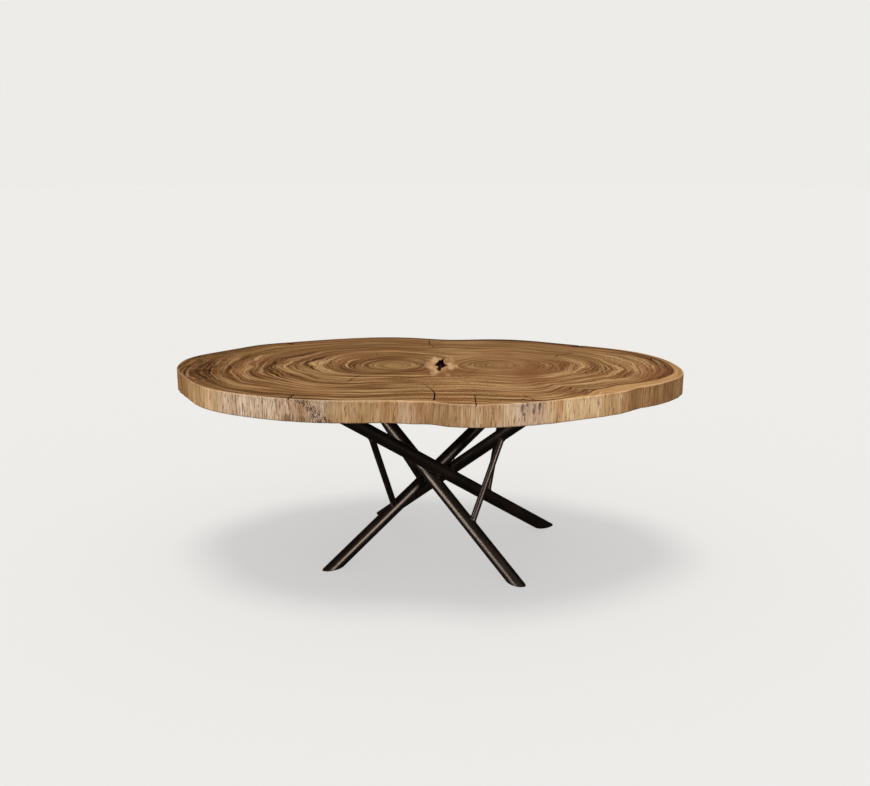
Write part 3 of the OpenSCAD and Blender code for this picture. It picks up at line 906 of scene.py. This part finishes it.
def sideLook(p, x, y, z, wander):
    # colour and relief of the side: upright streaks of three widths, slits, cracks and knots
    sideToneAndShade, sideCrack, sideKnot = p.field("side")
    run, height, _ = p.field("track")
    weights, cover = sideWood["weights"], sideWood["cover"]
    upright = p.join(x, y, z * 0.045 + 5.0)
    thin = p.noise(upright, *sideWood["thin"])
    streak = p.noise(upright, *sideWood["streak"])
    wide = p.noise(upright, *sideWood["wide"])
    hue = p.noise(upright, *sideWood["hue"])
    value = (thin - 0.5) * weights["thin"] + (streak - 0.5) * weights["streak"]
    # the side's tone by direction carries painted light and shade
    value = value + (wide - 0.5) * weights["wide"] + sideToneAndShade * weights["tone"] + sideWood["plain"]
    side = p.ramp(p.clamp(value), sideWood["sideTones"])
    side = p.blend(p.step(hue, 0.52, 0.72) * cover["yellow"], side, sideWood["yellow"])
    side = p.blend(p.step(hue, 0.46, 0.28) * cover["pink"], side, sideWood["pink"])
    golden = p.greys(x * 0.5 + 0.5, sideWood["goldenSide"])
    side = p.blend(golden, side, p.blend(1.0, side, sideWood["golden"], "MULTIPLY"))

    # slits: peaks of a noise that is drawn out upwards, more of them in some places
    low = p.step(height, slab["bottom"] + 0.035, slab["bottom"])
    slitNoise = p.noise(p.join(x, y, z * 0.08 + 9.0), *sideWood["slits"]) + low * 0.03
    for places, more in sideWood["slitPlaces"]:
        slitNoise = slitNoise + p.window(x, *places) * more
    places, more = sideWood["lowSlits"]
    slitNoise = slitNoise + low * p.window(x, *places) * more
    slits = p.step(slitNoise, 0.645, 0.685)
    side = p.blend(slits * cover["slit"], side, sideWood["slit"])

    # belt of cracks: distance from a slanting line, filled with the middle levels of a noise
    (turnA, highA), (turnB, highB) = sideWood["crackBand"]
    slant = (runAt(turnB) - runAt(turnA)) / (highA - highB)
    middle = (highA - height) * slant + runAt(turnA)
    belt = p.step(abs(run - middle + (wander - 0.5) * 0.03), 0.032, 0.010)
    jagged = p.noise(p.join(x, y, z * 0.38), *sideWood["jagged"])
    cracked = p.clamp(belt + sideCrack * 0.45)
    splits = p.step(abs(jagged - 0.5), 0.072, 0.018) * cracked
    side = p.blend(cracked * cover["cracked"], side, sideWood["mauve"])
    side = p.blend(splits * cover["splits"], side, topWood["crackAndDepthShade"])

    # drawn marks and the knots, both broken up by the same noise, and painted shade along the lower edge
    rows = [((runAt(a), za), (runAt(b), zb), half) for (a, za), (b, zb), half in sideWood["sideMarks"]]
    drawn = strokes(p, run + (jagged - 0.5) * 0.016, height, rows) * p.step(jagged, 0.30, 0.46)
    knots = p.clamp(sideKnot * 1.4) * p.step(height, 0.700, 0.735)
    knots = knots * p.step(jagged + wide * 0.3, 0.60, 0.72)
    side = p.blend(p.clamp(sideKnot * cover["aroundKnots"]), side, sideWood["mauve"])
    dark = p.clamp(drawn * cover["drawn"] + knots * cover["knots"])
    side = p.blend(dark, side, sideWood["mark"])
    # painted shade: the side darkens over its lowest 6 mm
    lowerEdgeShade = p.step(height, slab["bottom"] + 0.006, slab["bottom"])
    side = p.blend(lowerEdgeShade * cover["foot"], side, sideWood["foot"])
    return side, thin * 1.4 + streak - splits * 2.0 - slits * 1.5 - drawn * 2.0


# satin oil over the top and the side
oiled = {
    "roughness": 0.50,
    "sideRougher": 0.16,
    "specular": 0.14,
    # the rounded edge is painted paler, partly as wear and partly as a painted highlight
    "edgeWearAndHighlight": 0.26,  # how much paler the rounded edge is
    "relief": (0.45, 0.0012),  # strength and reach
}


def slabWood():
    p = Paint("slab_wood_end_grain")
    x, y, z = p.parts(p.place())
    wander = p.noise(p.join(x, y, 0.0), *topWood["wander"])
    onTop, below, under = p.field("zone")
    face, faceRelief, faceRough = topLook(p, x, y, z, wander, onTop, below, under)
    side, sideRelief = sideLook(p, x, y, z, wander)
    flat = p.number("MAXIMUM", onTop, under)
    # painted highlight and wear along the rounded edge
    wornAndHighlight = onTop * (1 - onTop) * 4  # the rounded edge, where a point is half top and half side
    colour = p.blend(wornAndHighlight * oiled["edgeWearAndHighlight"], p.blend(flat, side, face), topWood["wornAndHighlight"])
    relief = flat * faceRelief + (1 - flat) * sideRelief
    rough = faceRough + (1 - flat) * oiled["sideRougher"] + oiled["roughness"]
    return p.finish(colour, rough, relief, *oiled["relief"], Specular_IOR_Level=oiled["specular"])


# steel, rubber and fixings: a noise pattern is scale, detail and, where it isn't 0.5, roughness,
# and a relief is strength and reach
steel = {
    "dark": tone(11, 6, 4),
    "brown": tone(24, 14, 9),
    "rubbed": tone(40, 27, 19),
    "brownShare": 0.75,
    "rubbedShare": 0.35,
    "roughness": 0.35,
    "cloudRougher": 0.14,
    "speckRougher": 0.06,
    "specular": 0.8,
    "sheen": (1.0, 0.78, 0.62, 1.0),
    "cloud": (9.0, 4.0, 0.6),
    "speck": (240.0, 2.0, 0.6),
    "wipe": (34.0, 3.0, 0.6),
    "wipeDrawn": (1.0, 1.0, 0.35),  # draws the wiped marks out upwards
    "relief": (0.04, 0.0004),
}


def darkSteel():
    # two browns in broad clouds, wiped paler in long marks, with a fine speck in the gloss
    p = Paint("dark_bronze_steel")
    place = p.place()
    cloud = p.noise(place, *steel["cloud"])
    speck = p.noise(place, *steel["speck"])
    wipe = p.noise(p.vector("MULTIPLY", place, steel["wipeDrawn"]), *steel["wipe"])
    colour = p.blend(p.step(cloud, 0.40, 0.68) * steel["brownShare"], steel["dark"], steel["brown"])
    colour = p.blend(p.step(wipe, 0.60, 0.78) * steel["rubbedShare"], colour, steel["rubbed"])
    rough = (cloud - 0.5) * steel["cloudRougher"] + (speck - 0.5) * steel["speckRougher"]
    fixed = {"Specular_IOR_Level": steel["specular"], "Specular_Tint": steel["sheen"]}
    return p.finish(colour, rough + steel["roughness"], speck * 0.15 + wipe, *steel["relief"], **fixed)


rubber = {
    "clean": tone(26, 25, 24),
    "dusty": tone(62, 59, 55),
    "dust": (60.0, 4.0, 0.6),
    "dustShare": 0.4,
    "pebble": (900.0, 1.0),
    "roughness": 0.72,
    "dustRougher": 0.16,
    "specular": 0.3,
    "relief": (0.25, 0.0003),
}


def footRubber():
    # dust in patches over a pebbled black
    p = Paint("foot_rubber")
    place = p.place()
    dust = p.noise(place, *rubber["dust"])
    pebble = p.noise(place, *rubber["pebble"])
    colour = p.blend(p.step(dust, 0.5, 0.8) * rubber["dustShare"], rubber["clean"], rubber["dusty"])
    rough = dust * rubber["dustRougher"] + rubber["roughness"]
    return p.finish(colour, rough, pebble, *rubber["relief"], Specular_IOR_Level=rubber["specular"])


brass = {
    "deep": tone(150, 118, 58),
    "bright": tone(206, 174, 104),
    "lathe": (90.0, 2.0),
    "pressed": 12,  # how much flatter the lathe marks are than they are wide
    "roughness": 0.28,
    "latheRougher": 0.15,
    "relief": (0.2, 0.0002),
}


def turnedBrass():
    # level lathe marks: a noise pressed flat
    p = Paint("insert_brass")
    x, y, z = p.parts(p.place())
    lathe = p.noise(p.join(x, y, z * brass["pressed"]), *brass["lathe"])
    colour = p.blend(lathe, brass["deep"], brass["bright"])
    rough = lathe * brass["latheRougher"] + brass["roughness"]
    return p.finish(colour, rough, lathe, *brass["relief"], Metallic=1.0)


zinc = {
    "black": tone(66, 62, 58),
    "grey": tone(112, 107, 100),
    "bloom": (130.0, 3.0, 0.6),
    "roughness": 0.32,
    "bloomRougher": 0.20,
    "relief": (0.15, 0.0002),
}


def blackenedZinc():
    # grey bloom over a near black
    p = Paint("blackened_zinc")
    bloom = p.noise(p.place(), *zinc["bloom"])
    colour = p.blend(p.step(bloom, 0.4, 0.7), zinc["black"], zinc["grey"])
    rough = bloom * zinc["bloomRougher"] + zinc["roughness"]
    return p.finish(colour, rough, bloom, *zinc["relief"], Metallic=1.0)


def dress(piece, material):
    piece.data.materials.clear()
    piece.data.materials.append(material)


woodMaterial = slabWood()
steelMaterial = darkSteel()
dress(slabPiece, woodMaterial)
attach(slabPiece, "root")
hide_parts("slab_top")
print("wood painted:", len(woodMaterial.node_tree.nodes), "shader nodes")


# legs
legs = {
    "radius": 0.0254,
    "wall": 0.003,
    "longLean": 57.0,
    "longHeading": 35.0,
    "shortLean": 52.9,
    "shortHeading": -41.8,
    "crossing": np.array([-0.027, -0.088, 0.336]),
    "apart": 0.0513,  # between the axes of two legs where they cross
    "middle": np.array([0.069, 0.003, 0.0]),  # of the base
    "ends": (0.006, 0.674),  # heights at which the tubes are cut level
    "rows": 26,
    "boreRows": 4,
    "columns": 72,
}


def downward(lean, heading):
    # unit vector down a leg: lean is measured from upright, heading from +X
    lean, heading = math.radians(lean), math.radians(heading)
    outward = math.sin(lean)
    return np.array([outward * math.cos(heading), outward * math.sin(heading), -math.cos(lean)])


halfTurn = np.array([-1.0, -1.0, 1.0])
longWay = downward(legs["longLean"], legs["longHeading"])
shortWay = downward(legs["shortLean"], legs["shortHeading"])
across = np.cross(longWay, shortWay)
across /= np.linalg.norm(across)
towardsFront = across if across[1] < 0 else -across
longAxis = (legs["crossing"] + towardsFront * legs["apart"] / 2, longWay)
shortAxis = (legs["crossing"] - towardsFront * legs["apart"] / 2, shortWay)


def turned(axis):
    # the same leg half a turn round
    return axis[0] * halfTurn, axis[1] * halfTurn


def atHeight(axis, z):
    # point of a leg's axis at this height
    return axis[0] + axis[1] * (z - axis[0][2]) / axis[1][2]


def ringAround(way, columns):
    # unit vectors square to a direction, once round
    side = np.cross(way, [0, 0, 1.0])
    side /= np.linalg.norm(side)
    up = np.cross(side, way)
    turn = np.linspace(0, 2 * np.pi, columns, endpoint=False)[:, None]
    return np.cos(turn) * side + np.sin(turn) * up


def legTube(name, axis):
    # tube along an axis; each line along it ends where it meets two level planes
    around = ringAround(axis[1], legs["columns"])
    rows = []
    for radius, shares in (
        (legs["radius"], np.linspace(0, 1, legs["rows"])),
        (legs["radius"] - legs["wall"], np.linspace(1, 0, legs["boreRows"])),
    ):
        start = axis[0] + around * radius
        reaches = [(z - start[:, 2]) / axis[1][2] for z in legs["ends"]]
        foot, head = (start + axis[1] * reach[:, None] for reach in reaches)
        rows += [foot * (1 - share) + head * share for share in shares]
    return surface(name, np.array(rows) + legs["middle"], closedRows=True)


legPieces = {
    "leg_front_right": legTube("leg_tube_front_right", shortAxis),
    "leg_rear_left": legTube("leg_tube_rear_left", turned(shortAxis)),
    "leg_rear_right": legTube("leg_tube_rear_right", longAxis),
    "leg_front_left": legTube("leg_tube_front_left", turned(longAxis)),
}
print("legs:", len(legPieces))


# braces and welds
braces = {
    "radius": 0.0127,
    "wall": 0.002,
    "gap": 0.0002,
    "rows": 14,
    "boreRows": 3,
    "columns": 48,
    # upper leg, lower leg, upper and lower seat height
    "seats": {
        "brace_front_right": (turned(shortAxis), shortAxis, 0.505, 0.171),
        "brace_rear_left": (shortAxis, turned(shortAxis), 0.600, 0.191),
        "brace_front_left": (longAxis, turned(longAxis), 0.570, 0.189),
        "brace_rear_right": (turned(longAxis), longAxis, 0.550, 0.208),
    },
}
welds = {
    "radius": 0.0024,
    "raised": 0.0004,
    "sections": 10,
    "columns": 156,
    "ripples": 26,
    "rippleShare": 0.10,
    "crossGap": 0.0040,  # between the surfaces of two crossing legs, where the bead lies
}


def meets(start, way, axis, radius, first):
    # where lines from start points along way pass through a leg's surface: the roots of the
    # quadratic that sets their distance from its axis to its radius
    lean = start - axis[0]
    square = lean - (lean @ axis[1])[:, None] * axis[1]
    slant = way - (way @ axis[1]) * axis[1]
    a = slant @ slant
    b = square @ slant
    c = (square * square).sum(1) - radius ** 2
    root = np.sqrt(b * b - a * c)
    return (-b - root) / a if first else (-b + root) / a


def braceEnds(upperLeg, lowerLeg, radius, around, start, way):
    # the two coped ends: lines along the brace, cut where they meet each leg
    lines = start + around * radius
    reach = legs["radius"] + braces["gap"]
    return (
        lines + way * meets(lines, way, upperLeg, reach, False)[:, None],
        lines + way * meets(lines, way, lowerLeg, reach, True)[:, None],
    )


def bead(name, curve, outside):
    # small ring of weld metal: a circle carried round a closed curve, with ripples along it
    count = len(curve)
    tangent = np.roll(curve, -1, 0) - np.roll(curve, 1, 0)
    tangent /= np.linalg.norm(tangent, axis=1)[:, None]
    outside = outside - (outside * tangent).sum(1)[:, None] * tangent
    outside /= np.linalg.norm(outside, axis=1)[:, None]
    sideways = np.cross(tangent, outside)
    turn = np.linspace(0, 2 * np.pi, welds["sections"], endpoint=False)
    ripple = np.cos(np.arange(count) * 2 * np.pi * welds["ripples"] / count) * welds["rippleShare"]
    radius = welds["radius"] * (1 + ripple)[:, None, None]
    cosine, sine = np.cos(turn)[None, :, None], np.sin(turn)[None, :, None]
    ring = cosine * outside[:, None] + sine * sideways[:, None]
    return surface(name, curve[:, None] + ring * radius + legs["middle"], closedRows=True)


bracePieces, beads = {}, []
for node, (upperLeg, lowerLeg, high, low) in braces["seats"].items():
    start = atHeight(upperLeg, high)
    way = atHeight(lowerLeg, low) - start
    way /= np.linalg.norm(way)
    around = ringAround(way, braces["columns"])
    rows = []
    for radius, shares in (
        (braces["radius"], np.linspace(0, 1, braces["rows"])),
        (braces["radius"] - braces["wall"], np.linspace(1, 0, braces["boreRows"])),
    ):
        head, foot = braceEnds(upperLeg, lowerLeg, radius, around, start, way)
        rows += [head * (1 - share) + foot * share for share in shares]
    tubeName = node.replace("brace", "brace_tube")
    bracePieces[node] = surface(tubeName, np.array(rows) + legs["middle"], closedRows=True)
    around = ringAround(way, welds["columns"])
    head, foot = braceEnds(upperLeg, lowerLeg, braces["radius"], around, start, way)
    for end, seam, leg in (("upper", head, upperLeg), ("lower", foot, lowerLeg)):
        fromLeg = seam - leg[0]
        fromLeg -= (fromLeg @ leg[1])[:, None] * leg[1]
        fromLeg /= np.linalg.norm(fromLeg, axis=1)[:, None]
        outside = around + fromLeg
        beads.append(bead("weld_" + end + "_" + node, seam + outside * welds["raised"], outside))


def crossingBead(name, flip):
    # ring of weld where two legs pass, at the line where their surfaces stand crossGap apart:
    # near the crossing each surface falls away with the square of the distance from its axis
    turn = np.linspace(0, 2 * np.pi, welds["columns"], endpoint=False)
    leastGap = legs["apart"] - 2 * legs["radius"]
    reach = math.sqrt(2 * legs["radius"] * (welds["crossGap"] - leastGap))
    fromLong, fromShort = reach * np.cos(turn), reach * np.sin(turn)
    squareLong, squareShort = np.cross(towardsFront, longWay), np.cross(towardsFront, shortWay)
    overlap = squareLong @ squareShort
    u = (fromLong - overlap * fromShort) / (1 - overlap ** 2)
    v = (fromShort - overlap * fromLong) / (1 - overlap ** 2)
    height = (fromShort ** 2 - fromLong ** 2) / (4 * legs["radius"])
    plane = u[:, None] * squareLong + v[:, None] * squareShort
    curve = legs["crossing"] + plane + towardsFront * height[:, None]
    if flip:
        curve, plane = curve * halfTurn, plane * halfTurn
    return bead(name, curve, plane)


beads.append(crossingBead("weld_crossing_front", False))
beads.append(crossingBead("weld_crossing_rear", True))
for node, piece in [*legPieces.items(), *bracePieces.items()]:
    dress(piece, steelMaterial)
    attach(piece, "root")
    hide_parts(node)
for piece in beads:
    dress(piece, steelMaterial)
    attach(piece, "root")
print("braces:", len(bracePieces), "weld beads:", len(beads))

rubberMaterial, brassMaterial, zincMaterial = footRubber(), turnedBrass(), blackenedZinc()
for node, item in nodes.items():
    if node.startswith(("top_plate", "foot_cap")):
        dress(item, steelMaterial)
    elif node.startswith("foot_pad"):
        dress(item, rubberMaterial)
    elif node == "threaded_inserts":
        dress(item, brassMaterial)
    elif node in ("plate_bolts", "plate_washers"):
        dress(item, zincMaterial)
print("fixings and feet painted")


# studio
studio = {
    "backdrop": tone(237, 236, 232),
    "ambient": (0.35, 0.35, 0.345, 1.0),
    "floorGlow": (0.513, 0.509, 0.505, 1.0),  # what the floor shows where no light reaches it
    "floorLit": (0.510, 0.502, 0.474, 1.0),  # and how it answers the light
    "floorRings": [0.5, 1.2, 2.5, 6, 15, 60],
    "floorHeight": -0.0002,  # just under the feet
    "bounce": 0.12,  # share of its lit colour that the floor throws back at the table
    "mirrored": 0.025,  # how much of the pale backdrop and floor a reflection shows
    "overhead": {"place": (-0.3, 0, 4), "aim": (0, 0, 0), "power": 1.0, "size": 22},  # size in degrees
    "lamps": {
        "softbox_right": {
            "place": (2.1, -3.2, 1.75), "aim": (0.05, -0.1, 0.4), "power": 95, "size": (1.3, 1.7),
        },
        "softbox_left": {
            "place": (-3.4, -1.9, 0.95), "aim": (0.0, -0.1, 0.4), "power": 75, "size": (1.0, 1.7),
        },
        "strip_left": {
            "place": (-2.6, -2.9, 1.15), "aim": (0.0, -0.1, 0.3), "power": 36, "size": (0.8, 1.7),
        },
    },
}


def makeFloor():
    # level disc that keeps a colour of its own and lets the overhead light's shadow show
    turn = np.linspace(0, 2 * np.pi, 96, endpoint=False)
    ring = np.stack([np.cos(turn), np.sin(turn), 0 * turn], -1)
    radii = np.array(studio["floorRings"])[:, None, None]
    middle = (0, 0, studio["floorHeight"])
    floor = surface("floor", ring * radii + middle, poles=(middle, None))
    if floor.data.polygons[0].normal.z < 0:
        floor.data.flip_normals()
    p = Paint("studio_floor")
    glow = p.add("ShaderNodeEmission", None, {"Color": studio["floorGlow"], "Strength": seen(p)})
    dim = [level * studio["bounce"] for level in studio["floorLit"][:3]]
    colour = p.blend(seen(p), (*dim, 1.0), studio["floorLit"])
    lit = p.add("ShaderNodeBsdfDiffuse", None, {"Color": colour})
    p.end(p.add("ShaderNodeAddShader", None, {0: glow, 1: lit}))
    dress(floor, p.material)
    return floor


def seen(p):
    # 1 for what the camera sees, directly or through glass, and a share of it in a reflection
    camera, glossy, passing = (
        p.add("ShaderNodeLightPath", None, None, name)
        for name in ("Is Camera Ray", "Is Glossy Ray", "Is Transmission Ray")
    )
    return p.number("MAXIMUM", p.number("MAXIMUM", camera, glossy * studio["mirrored"]), passing)


def makeWorld():
    # pale backdrop where it is seen, an even grey light for everything else
    p = Paint("studio_world", bpy.data.worlds)
    bpy.context.scene.world = p.material
    glossy = p.add("ShaderNodeLightPath", None, None, "Is Glossy Ray")
    ambient = p.blend(glossy, studio["ambient"], (0.0, 0.0, 0.0, 1.0))
    colour = p.blend(seen(p), ambient, studio["backdrop"])
    p.end(p.add("ShaderNodeBackground", None, {"Color": colour}), "ShaderNodeOutputWorld")


def makeLamp(name, kind, place, aim, power, size):
    # a lamp that points at aim; size is its sides in metres, or the sun's angle
    lamp = bpy.data.lights.new(name, kind)
    lamp.energy = power
    if kind == "AREA":
        lamp.shape = "RECTANGLE"
        lamp.size, lamp.size_y = size
    else:
        lamp.angle = math.radians(size)
    item = bpy.data.objects.new(name, lamp)
    bpy.context.scene.collection.objects.link(item)
    item.location = place
    way = Vector(aim) - Vector(place)
    item.rotation_euler = way.to_track_quat("-Z", "Y").to_euler()
    item.visible_camera = False
    return item


def spare(lamp, pieces):
    # this lamp leaves these pieces alone; on the floor it would cast a second shadow
    group = bpy.data.collections.new(lamp.name + "_receivers")
    for piece in pieces:
        group.objects.link(piece)
    for member in group.collection_objects:
        member.light_linking.link_state = "EXCLUDE"
    lamp.light_linking.receiver_collection = group


floor = makeFloor()
makeWorld()
makeLamp("overhead", "SUN", **studio["overhead"])
for name, settings in studio["lamps"].items():
    # the strip is for the steel only
    spare(makeLamp(name, "AREA", **settings), [floor, slabPiece] if name == "strip_left" else [floor])

view = {
    "place": (0.0306, -3.7215, 1.5494),
    "pitch": 13.582,  # degrees below level
    "focal": 965.0,  # in pixels of the photo, and its width
    "width": 870,
    "sensor": 36,
    "reach": 200,
}
camera = bpy.data.cameras.new("camera")
camera.sensor_width = view["sensor"]
camera.lens = view["sensor"] * view["focal"] / view["width"]
camera.clip_end = view["reach"]
viewer = bpy.data.objects.new("camera", camera)
bpy.context.scene.collection.objects.link(viewer)
viewer.location = view["place"]
viewer.rotation_euler = (math.radians(90 - view["pitch"]), 0, 0)
bpy.context.scene.camera = viewer
bpy.context.scene.view_settings.view_transform = "Standard"
print("studio ready")
